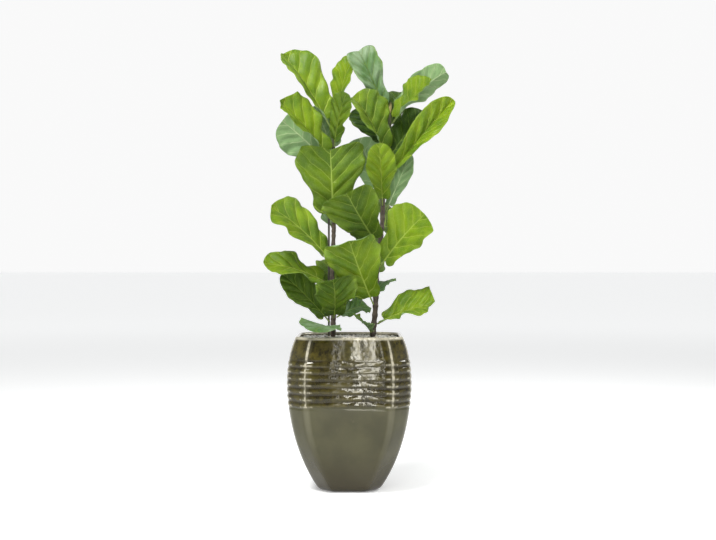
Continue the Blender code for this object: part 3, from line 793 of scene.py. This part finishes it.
def make_trunk(side, plant):
    low = GRAVEL_TOP - 0.012
    count = int((plant.apex - low) / RING_STEP)
    heights = [low + (plant.apex - low) * i / count for i in range(count + 1)]
    scars = [leaf.height - 0.004 for leaf in LEAVES if leaf.plant == side]
    scars += [SOIL_TOP + 0.03 + NODE_SPACING * i for i in range(NODE_COUNT)]

    def radius(ring, angle):
        z = heights[ring]
        swell = max(math.exp(-(((z - scar) / NODE_LENGTH) ** 2)) for scar in scars)
        knobbly = noise.noise(Vector((math.cos(angle) * 1.5, math.sin(angle) * 1.5, z * 90.0)))
        taper = 1.0 - 0.5 * smoothstep(plant.apex - 0.012, plant.apex, z)
        return trunk_radius(plant, z) * (0.92 + NODE_SWELLING * swell + 0.10 * knobbly) * taper

    obj = tube_mesh("fig_trunk_" + side, [trunk_axis(plant, z) for z in heights], radius)
    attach(obj, "root")
    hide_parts("trunk_" + side)
    return obj


bark, tree, shader, _ = new_material("fig_bark")
place = object_place(tree)
fibres = noise_at(tree, drawn_out(tree, place, 0.25), 260.0, 5.0, 0.7)
patches = noise_at(tree, place, 40.0, 3.0)
wood = blend_colours(tree, ramp(tree, fibres, 0.3, 0.7), *BARK_BROWNS)
wood = blend_colours(tree, ramp(tree, patches, 0.45, 0.7, 0.0, 0.6), wood, BARK_PATCHES)
young = ramp(tree, axis_of(tree, place, "Z"), 0.85, 1.12, 0.0, 0.75)
wood = blend_colours(tree, young, wood, YOUNG_WOOD)
coat(tree, shader, wood, ramp(tree, fibres, 0.2, 0.8, 0.7, 0.95), fibres, 0.0012)

for side, plant in PLANTS.items():
    make_trunk(side, plant).data.materials.append(bark)
print("trunks:", len(PLANTS))

# %% Stake and ties
STAKE_RADIUS = 0.0035
CANE_BROWNS = (0.018, 0.016, 0.010), (0.060, 0.050, 0.030)
STRAP_BLACKS = (0.010, 0.010, 0.010), (0.030, 0.030, 0.028)

cane, tree, shader, _ = new_material("stained_cane")
grain = noise_at(tree, object_place(tree), 300.0, 4.0)
rough = ramp(tree, grain, 0.2, 0.8, 0.45, 0.65)
coat(tree, shader, blend_colours(tree, grain, *CANE_BROWNS), rough, grain, 0.0005)

strap, tree, shader, _ = new_material("soft_strap")
weave = add(tree, "TexWave", Scale=420.0, Distortion=1.0)
wire(tree, object_place(tree), weave.inputs["Vector"])
threads = weave.outputs["Fac"]
rough = ramp(tree, threads, 0.0, 1.0, 0.6, 0.8)
coat(tree, shader, blend_colours(tree, threads, *STRAP_BLACKS), rough, threads, 0.0003)


def stake_centre(plant, height):
    rise = height - SOIL_TOP
    ways = zip(plant.foot, plant.stake, plant.lean)
    return Vector((*(foot + beside + lean * rise for foot, beside, lean in ways), height))


left = PLANTS["left"]
stake_heights = [GRAVEL_TOP - 0.01 + (left.stake_top - GRAVEL_TOP + 0.01) * i / 130 for i in range(131)]


def cane_radius(ring, angle):
    knuckle = math.exp(-((((stake_heights[ring] - 0.02) % 0.13 - 0.065) / 0.003) ** 2))
    return STAKE_RADIUS * (0.90 + 0.16 * knuckle)


stake = tube_mesh("cane_stake", [stake_centre(left, z) for z in stake_heights], cane_radius, 14)
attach(stake, "root")
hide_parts("stake_left")
stake.data.materials.append(cane)
for number in (1, 2):
    refinish(f"tie_left_{number}", strap)
print("stake top:", left.stake_top, "m")

# %% [markdown]
# ## The shape of one leaf
# A fig leaf is fiddle shaped: a short stout stalk, two small lobes at the heel, a waist, and a broad
# end. It is never flat. Its midrib arches, its halves fold up from the midrib, the blade puffs up
# between its side veins, and its margin waves because it grows faster than the middle. All of that is
# a formula of two numbers: how far along the leaf, and how far across. The formula's frame is the
# solid model's, so each leaf stays in its place. The leaf is made as a fine grid, then given a thin
# top and bottom and a round stalk. For its material, it keeps how far along and how far across each
# point is and whether that point is on the underside, and the whole leaf's tone and chance.

# %% Leaf frame
PETIOLE_SHARE = 0.13
PETIOLE_HALF_WIDTH = 0.0025
PETIOLE_THICKNESS = 0.005
FIT_GAP = 0.0005


def blade_share(v, blunt):
    """The fiddle shape: half-width along the blade, as a share of the widest, from petiole to tip."""
    heel = math.sqrt(max(0.0, 1.0 - (1.0 - min(v, 0.14) / 0.14) ** 2))
    body = 0.52 + 0.48 * smoothstep(0.16, 0.62, v)
    point = math.sqrt(max(0.0, 1.0 - (max(0.0, v - 0.50) / 0.50) ** blunt))
    return heel * body * point


def toward(heading, rise):
    """The unit vector at a heading in plan and a rise above level, both in degrees."""
    level = math.cos(math.radians(rise))
    return Vector(
        (
            level * math.cos(math.radians(heading)),
            level * math.sin(math.radians(heading)),
            math.sin(math.radians(rise)),
        )
    )


def bent_line(arch, curl, roll, steps):
    """Points and slopes of a midrib on the flat, from (0, 0) to (1, 0)."""
    slopes, points = [], [Vector((0.0, 0.0))]
    for step in range(steps + 1):
        s = step / steps
        bend = arch * (0.5 - s) - curl * max(0.0, (s - 0.6) / 0.4) ** 2
        slopes.append(math.radians(bend + roll * max(0.0, (s - 0.86) / 0.14)))
    for slope in slopes[:-1]:
        points.append(points[-1] + Vector((math.cos(slope), math.sin(slope))) / steps)
    end = points[-1]
    turn, reach = math.atan2(end.y, end.x), end.length
    cos, sin = math.cos(turn) / reach, math.sin(turn) / reach
    points = [Vector((p.x * cos + p.y * sin, p.y * cos - p.x * sin)) for p in points]
    return points, [slope - turn for slope in slopes]


def leaf_foot(leaf):
    """Where the petiole starts, on the side of the trunk that the leaf's tip is."""
    plant = PLANTS[leaf.plant]
    axis = trunk_axis(plant, leaf.height)
    outward = Vector(leaf.tip) - axis
    outward.z = 0.0
    clear = trunk_radius(plant, leaf.height) + PETIOLE_THICKNESS * 0.6 + FIT_GAP
    return axis + outward.normalized() * clear


def midrib(leaf, steps=40):
    """Frames (place, along, side, up) evenly spaced along the midrib, foot to tip."""
    start = leaf_foot(leaf)
    chord = Vector(leaf.tip) - start
    length = chord.length
    chord.normalize()
    face = toward(*leaf.face)
    lift = (face - chord * face.dot(chord)).normalized()
    across = lift.cross(chord)
    points, slopes = bent_line(leaf.arch, leaf.curl, leaf.roll, steps)
    frames = []
    for point, slope in zip(points, slopes):
        along = chord * math.cos(slope) + lift * math.sin(slope)
        up = lift * math.cos(slope) - chord * math.sin(slope)
        frames.append((start + (chord * point.x + lift * point.y) * length, along, across, up))
    return frames, length


def frame_at(frames, s):
    """The midrib's frame at a share of its length, by mixing the two nearest."""
    at = min(max(s, 0.0), 1.0) * (len(frames) - 1)
    low = min(int(at), len(frames) - 2)
    part = at - low
    return [a.lerp(b, part) for a, b in zip(frames[low], frames[low + 1])]


# %% Leaf surface
SIDE_VEINS = 5.0
VEIN_SWEEP = 0.40
VEIN_CURVE = 0.10
VEIN_STAGGER = 0.35
PUFF = 0.0068
EDGE_FRILL = 0.0150
LOBES = 0.16
RAGGEDNESS = 0.07


def vein_turn(v, across, sign):
    """Which side vein a point lies on: a whole number on a vein, a half between two."""
    swept = v - VEIN_SWEEP * across + VEIN_CURVE * across * across
    return swept * SIDE_VEINS + VEIN_STAGGER * sign


def blade_point(leaf, frames, s, t):
    """A point of the blade's middle: s runs from foot to tip, and t from margin to margin."""
    v = max(0.0, (s - PETIOLE_SHARE) / (1.0 - PETIOLE_SHARE))
    sign = 1.0 if t >= 0 else -1.0
    seed = leaf.phase * 3.7 + 11.0 * (sign > 0)
    lobes = noise.noise(Vector((v * 4.0, seed, 0.0)))
    ragged = noise.noise(Vector((v * 11.0, seed, 4.0)))
    uneven = 1.0 + LOBES * lobes + RAGGEDNESS * ragged
    half = leaf.width / 2 * blade_share(v, leaf.blunt) * uneven
    narrow = PETIOLE_HALF_WIDTH if s < 0.5 else 0.0006
    reach = max(half, narrow) * abs(t)
    forward = (leaf.notch - 0.60 * (1.0 - v) ** 4) * half * abs(t) ** 1.3
    place, along, side, up = frame_at(frames, s)
    fold = math.radians(leaf.fold) * (1.0 - 0.25 * v)
    envelope = math.sqrt(max(0.0, math.sin(math.pi * min(1.0, v + 0.04)))) if v > 0 else 0.0
    ripple = math.sin(math.tau * 2.1 * v + leaf.phase + 1.9 * (sign > 0))
    frill = noise.noise(Vector((v * 9.0, seed + 5.0, 0.3)))
    lift = reach * math.sin(fold) - 0.5 * reach * reach / leaf.width * math.sin(fold)
    lift += leaf.wave * envelope * ripple * abs(t) ** 1.6
    lift += EDGE_FRILL * envelope * frill * abs(t) ** 3
    across = 2.0 * reach / leaf.width
    puffed = 0.5 - 0.5 * math.cos(math.tau * vein_turn(v, across, sign))
    lift += PUFF * envelope * (puffed - 0.5) * min(1.0, across * 5.0) * (1.0 - 0.5 * abs(t))
    return place + along * forward + side * (sign * reach * math.cos(fold)) + up * lift, across * sign


# %% Leaf mesh
LENGTH_STEPS = 64
WIDTH_STEPS = 30
BLADE_HALF_THICKNESS = 0.0005


def leaf_stations():
    stalk = [PETIOLE_SHARE * i / 8 for i in range(8)]
    steps = LENGTH_STEPS - 8
    ends = [math.sin(math.pi / 2 * i / steps) ** 1.15 for i in range(steps + 1)]
    even = [i / steps for i in range(steps + 1)]
    blade = [0.6 * a + 0.4 * b for a, b in zip(even, ends)]
    return stalk + [PETIOLE_SHARE + (1.0 - PETIOLE_SHARE) * v for v in blade]


def rib_radius(s):
    """Radius of the stalk, and of the midrib that stands out below the blade, which thins to the tip."""
    v = max(0.0, (s - PETIOLE_SHARE) / (1.0 - PETIOLE_SHARE))
    return PETIOLE_THICKNESS / 2 * (1.0 - 0.85 * v**0.7)


def leaf_faces(rows, cols):
    """The faces of a top grid and a bottom grid, and the strip that joins them all round."""
    under = rows * cols
    faces = []
    for i in range(rows - 1):
        for j in range(cols - 1):
            a = i * cols + j
            faces.append((a, a + 1, a + cols + 1, a + cols))
            faces.append((under + a, under + a + cols, under + a + cols + 1, under + a + 1))
        for j in (0, cols - 1):
            a, b = i * cols + j, (i + 1) * cols + j
            faces.append((a, b, under + b, under + a) if j == 0 else (b, a, under + a, under + b))
    for j in range(cols - 1):
        a, b = j, (rows - 1) * cols + j
        faces.append((a + 1, a, under + a, under + a + 1))
        faces.append((b, b + 1, under + b + 1, under + b))
    return faces


def make_leaf(leaf):
    frames, length = midrib(leaf)
    stations = leaf_stations()
    columns = [math.copysign(abs(u) ** 1.5, u) for u in np.linspace(-1, 1, WIDTH_STEPS + 1)]
    grid = [[blade_point(leaf, frames, s, t) for t in columns] for s in stations]
    middle = np.array([[point[0] for point in row] for row in grid])
    across = np.array([[point[1] for point in row] for row in grid])
    normal = np.cross(np.gradient(middle, axis=1), np.gradient(middle, axis=0))
    normal /= np.linalg.norm(normal, axis=2, keepdims=True) + 1e-12
    ups = np.array([frame_at(frames, s)[3] for s in stations])
    normal *= np.sign((normal * ups[:, None, :]).sum(axis=2, keepdims=True))
    for row, s in enumerate(stations):
        if s < PETIOLE_SHARE + 0.02:
            normal[row] = ups[row]
    radius = np.array([rib_radius(s) for s in stations])[:, None]
    metres = np.abs(across) * leaf.width / 2
    rib = np.sqrt(np.maximum(0.0, radius**2 - metres**2))
    blade = np.array([smoothstep(PETIOLE_SHARE - 0.01, PETIOLE_SHARE + 0.05, s) for s in stations])[:, None]
    edge = BLADE_HALF_THICKNESS * (1.0 - 0.5 * np.abs(np.array(columns))[None, :] ** 4)
    above = np.maximum(edge * blade, rib * (1.0 - blade))
    below = np.maximum(edge * blade, rib)
    top = middle + normal * above[..., None]
    bottom = middle - normal * below[..., None]
    rows, cols = across.shape
    verts = np.concatenate([top.reshape(-1, 3), bottom.reshape(-1, 3)])
    mesh = bpy.data.meshes.new("fig_" + leaf.name)
    mesh.from_pydata(verts.tolist(), [], leaf_faces(rows, cols))
    along = np.array([(s - PETIOLE_SHARE) / (1.0 - PETIOLE_SHARE) for s in stations])
    keep(
        mesh,
        along=np.tile(np.repeat(along, cols), 2),
        across=np.tile(across.reshape(-1), 2),
        underside=np.repeat([0.0, 1.0], rows * cols),
        tone=np.full(len(verts), leaf.tone),
        chance=np.full(len(verts), (leaf.phase * 0.37 + leaf.height * 7.0) % 1.0),
    )
    close_up(mesh)
    obj = new_object(mesh)
    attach(obj, "root")
    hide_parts(leaf.name)
    return obj, length


blades = [make_leaf(leaf) for leaf in LEAVES]
lengths = [length for _, length in blades]
print("leaf lengths:", round(min(lengths), 3), "to", round(max(lengths), 3), "m, stalks included")

# %% [markdown]
# ## Veins as a node group
# The veins are the leaf's most telling mark, and both of its sides need them, so they are one shader
# node group. It reads how far along and how far across a point is. A thick midrib runs down the
# middle, side veins leave it in pairs and sweep toward the tip, and a net of cells fills the space
# between them. It puts out one mask for the strong veins, one for the net, and the height of the
# puffed blade.

# %% Vein group
VEIN_DRIFT = 0.10
NETS = ((15.0, 0.05), (42.0, 0.07))
FINE_NET = 0.45


def vein_group():
    group = bpy.data.node_groups.new("fig_leaf_veins", "ShaderNodeTree")
    for name in ("Along", "Across", "Chance"):
        group.interface.new_socket(name, in_out="INPUT", socket_type="NodeSocketFloat")
    for name in ("Veins", "Net", "Puff"):
        group.interface.new_socket(name, in_out="OUTPUT", socket_type="NodeSocketFloat")
    source = group.nodes.new("NodeGroupInput").outputs
    target = group.nodes.new("NodeGroupOutput").inputs
    along, across, chance_in = source["Along"], source["Across"], source["Chance"]
    away = maths(group, "ABSOLUTE", across)
    sign = maths(group, "SIGN", across)
    where = group.nodes.new("ShaderNodeCombineXYZ")
    wire(group, along, where.inputs[0])
    wire(group, across, where.inputs[1])
    wire(group, times(group, chance_in, 17.0), where.inputs[2])
    drift = noise_at(group, where.outputs[0], 3.0, 1.0)
    swept = maths(group, "MULTIPLY_ADD", away, -VEIN_SWEEP, along)
    swept = maths(group, "MULTIPLY_ADD", times(group, away, away), VEIN_CURVE, swept)
    swept = maths(group, "MULTIPLY_ADD", maths(group, "SUBTRACT", drift, 0.5), VEIN_DRIFT, swept)
    turn = maths(group, "MULTIPLY_ADD", swept, SIDE_VEINS, times(group, sign, VEIN_STAGGER))
    part = maths(group, "FRACT", turn)
    gap = maths(group, "ABSOLUTE", maths(group, "SUBTRACT", part, 0.5))
    to_vein = maths(group, "SUBTRACT", 0.5, gap)
    side_width = maths(group, "MULTIPLY_ADD", away, -0.040, 0.070)
    side_veins = ramp(group, to_vein, 0.0, side_width, 1.0, 0.0)
    rib_width = maths(group, "MULTIPLY_ADD", along, -0.034, 0.050)
    rib = ramp(group, away, times(group, rib_width, 0.35), rib_width, 1.0, 0.0)
    wire(group, maths(group, "MAXIMUM", side_veins, rib), target["Veins"])
    nets = []
    for scale, width in NETS:
        cells = add(group, "TexVoronoi", feature="DISTANCE_TO_EDGE", Scale=scale)
        wire(group, where.outputs[0], cells.inputs["Vector"])
        nets.append(ramp(group, cells.outputs["Distance"], 0.0, width, 1.0, 0.0))
    wire(group, maths(group, "MAXIMUM", nets[0], times(group, nets[1], FINE_NET)), target["Net"])
    puff = times(group, ramp(group, to_vein, 0.0, 0.4), ramp(group, away, 0.0, 0.12))
    wire(group, puff, target["Puff"])
    return group


def use_group(tree, group, **inputs):
    node = tree.nodes.new("ShaderNodeGroup")
    node.node_tree = group
    for name, source in inputs.items():
        wire(tree, source, node.inputs[name])
    return node.outputs


VEINS = vein_group()
print("vein group:", len(VEINS.nodes), "nodes")

# %% [markdown]
# ## The leaf's two sides
# The upper side is a waxy, fairly glossy green with pale sunken veins. The underside is a paler,
# bluer green, matte, with veins that stand out. A leaf is thin enough for light to come through it,
# which a Translucent shader adds: leaves with the light behind them glow yellow green.

# %% Leaf colours
# Where there are two greens, an old, deep leaf has the first and a young one has the second, and a leaf
# darkened as painted shade, because it stands in shadow, leans to the first. The painted sheen's two, a
# glossy reflection painted in, are its darker and paler patches.
UPPER_GREENS = (0.034, 0.088, 0.005), (0.225, 0.335, 0.002)
UPPER_SHADOWS = (0.011, 0.036, 0.003), (0.088, 0.178, 0.002)
UPPER_VEINS = (0.215, 0.320, 0.062), (0.490, 0.610, 0.110)
PAINTED_SHEEN = (0.120, 0.240, 0.085), (0.330, 0.460, 0.270)
UPPER_MARGIN = (0.260, 0.370, 0.040)
LOWER_GREENS = (0.170, 0.300, 0.110), (0.330, 0.500, 0.210)
LOWER_PATCHES = (0.170, 0.290, 0.110)
LOWER_PUFF_SHADE = (0.130, 0.235, 0.095)
LOWER_NET = (0.360, 0.470, 0.280)
LOWER_VEINS = (0.500, 0.610, 0.330)
STALK_GREEN = (0.230, 0.300, 0.080)
LIT_THROUGH_GREEN = (0.50, 0.66, 0.04)


def upper_side(tree, tone, patchy, veins, along, across):
    """Green, with painted shade in patches, on the puffs and by the midrib toward the base, a painted sheen
    where the tone is below 0, and paler at the margin and veins.
    """
    away = maths(tree, "ABSOLUTE", across)
    dark = blend_colours(tree, tone, *UPPER_SHADOWS)
    # Painted shade by the midrib, toward the leaf's base.
    crease_shade = times(tree, ramp(tree, away, 0.0, 0.8, 1.0, 0.3), ramp(tree, along, 0.0, 0.55, 1.0, 0.0))
    top = blend_colours(tree, tone, *UPPER_GREENS)
    # Painted shade in patches, on the puffs between the veins and by the midrib near the base.
    top = blend_colours(tree, ramp(tree, patchy, 0.40, 0.64, 0.0, 1.0), top, dark)
    top = blend_colours(tree, times(tree, veins["Puff"], 0.42), top, dark)
    top = blend_colours(tree, times(tree, crease_shade, 0.55), top, dark)
    # Painted sheen: leaves with a tone below 0 are paled by a glossy reflection painted into the colour.
    sheen = blend_colours(tree, ramp(tree, patchy, 0.40, 0.62), *PAINTED_SHEEN)
    top = blend_colours(tree, ramp(tree, tone, -1.0, -0.1, 0.85, 0.0), top, sheen)
    top = blend_colours(tree, ramp(tree, away, 0.75, 1.05, 0.0, 0.35), top, UPPER_MARGIN)
    pale = blend_colours(tree, tone, *UPPER_VEINS)
    top = blend_colours(tree, times(tree, veins["Net"], 0.26), top, pale)
    return blend_colours(tree, times(tree, veins["Veins"], 0.78), top, pale)


def lower_side(tree, tone, patchy, veins):
    """A paler, bluer green, with painted shade on the puffs, and pale veins."""
    low = blend_colours(tree, tone, *LOWER_GREENS)
    low = blend_colours(tree, ramp(tree, patchy, 0.30, 0.75, 0.0, 0.6), low, LOWER_PATCHES)
    # Painted shade on the puffs between the veins.
    low = blend_colours(tree, times(tree, veins["Puff"], 0.30), low, LOWER_PUFF_SHADE)
    low = blend_colours(tree, times(tree, veins["Net"], 0.35), low, LOWER_NET)
    return blend_colours(tree, times(tree, veins["Veins"], 0.85), low, LOWER_VEINS)


# %% Leaf material
LIGHT_THROUGH = 0.22

fig_leaf, tree, shader, output = new_material("fig_leaf")
place = object_place(tree)
along, across = attribute(tree, "along"), attribute(tree, "across")
underside, tone, luck = (attribute(tree, name) for name in ("underside", "tone", "chance"))
veins = use_group(tree, VEINS, Along=along, Across=across, Chance=luck)
under = ramp(tree, underside, 0.4, 0.6)
patchy = noise_at(tree, place, 15.0, 5.0, 0.6)
speckle = noise_at(tree, place, 160.0, 3.0, 0.6)

upper = upper_side(tree, tone, patchy, veins, along, across)
both = blend_colours(tree, under, upper, lower_side(tree, tone, patchy, veins))
both = blend_colours(tree, ramp(tree, along, -0.03, 0.02, 1.0, 0.0), both, STALK_GREEN)
gloss = maths(tree, "MULTIPLY_ADD", speckle, 0.14, 0.30)
rough = ramp(tree, under, 0.0, 1.0, gloss, 0.62)

# The veins are sunk on the upper side, where their height counts as negative, and stand out below.
raised = maths(tree, "MULTIPLY_ADD", under, 2.0, -1.0)
vein_height = times(tree, maths(tree, "MULTIPLY_ADD", veins["Net"], 0.30, veins["Veins"]), raised)
height = maths(tree, "MULTIPLY_ADD", veins["Puff"], 0.6, vein_height)
height = maths(tree, "MULTIPLY_ADD", speckle, 0.18, height)
coat(tree, shader, both, rough, height, 0.0028, 0.9)
shader.inputs["Specular IOR Level"].default_value = 0.28

through = add(tree, "BsdfTranslucent")
wire(tree, blend_colours(tree, 0.35, both, LIT_THROUGH_GREEN), through.inputs["Color"])
sides = add(tree, "MixShader")
sides.inputs[0].default_value = LIGHT_THROUGH
wire(tree, shader.outputs[0], sides.inputs[1])
wire(tree, through.outputs[0], sides.inputs[2])
wire(tree, sides.outputs[0], output.inputs["Surface"])
for obj, _ in blades:
    obj.data.materials.append(fig_leaf)
print("leaf material:", len(tree.nodes), "nodes")

# %% [markdown]
# ## Buds
# Each trunk ends in a pointed bud, wrapped in a brown papery sheath with the next leaf inside. It is
# a short tube again, pinched along three seams where the sheath's edges overlap.

# %% Buds
BUD_LENGTH = 0.034
BUD_RADIUS = 0.0052
SHEATH_BROWNS = (0.120, 0.075, 0.028), (0.300, 0.270, 0.085)


def make_bud(side, plant):
    low = trunk_axis(plant, plant.apex)
    lean = Vector((*plant.lean, 1.0)).normalized()
    count = 24
    centres = [low + lean * (BUD_LENGTH * i / count) for i in range(count + 1)]

    def radius(ring, angle):
        u = ring / count
        belly = math.sin(math.pi * (0.25 + 0.75 * u) ** 1.2) ** 0.8 if u < 1.0 else 0.04
        seam = 0.86 + 0.14 * abs(math.cos(angle * 1.5 + u * 2.0)) ** 0.5
        return BUD_RADIUS * max(0.08, belly) * seam

    obj = tube_mesh("leaf_bud_" + side, centres, radius)
    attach(obj, "root")
    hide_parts("bud_" + side)
    return obj


sheath, tree, shader, _ = new_material("bud_sheath")
veined = noise_at(tree, object_place(tree), 220.0, 4.0, 0.6)
rough = ramp(tree, veined, 0.2, 0.8, 0.5, 0.75)
coat(tree, shader, blend_colours(tree, veined, *SHEATH_BROWNS), rough, veined, 0.0006)
for side, plant in PLANTS.items():
    make_bud(side, plant).data.materials.append(sheath)
print("buds:", len(PLANTS))
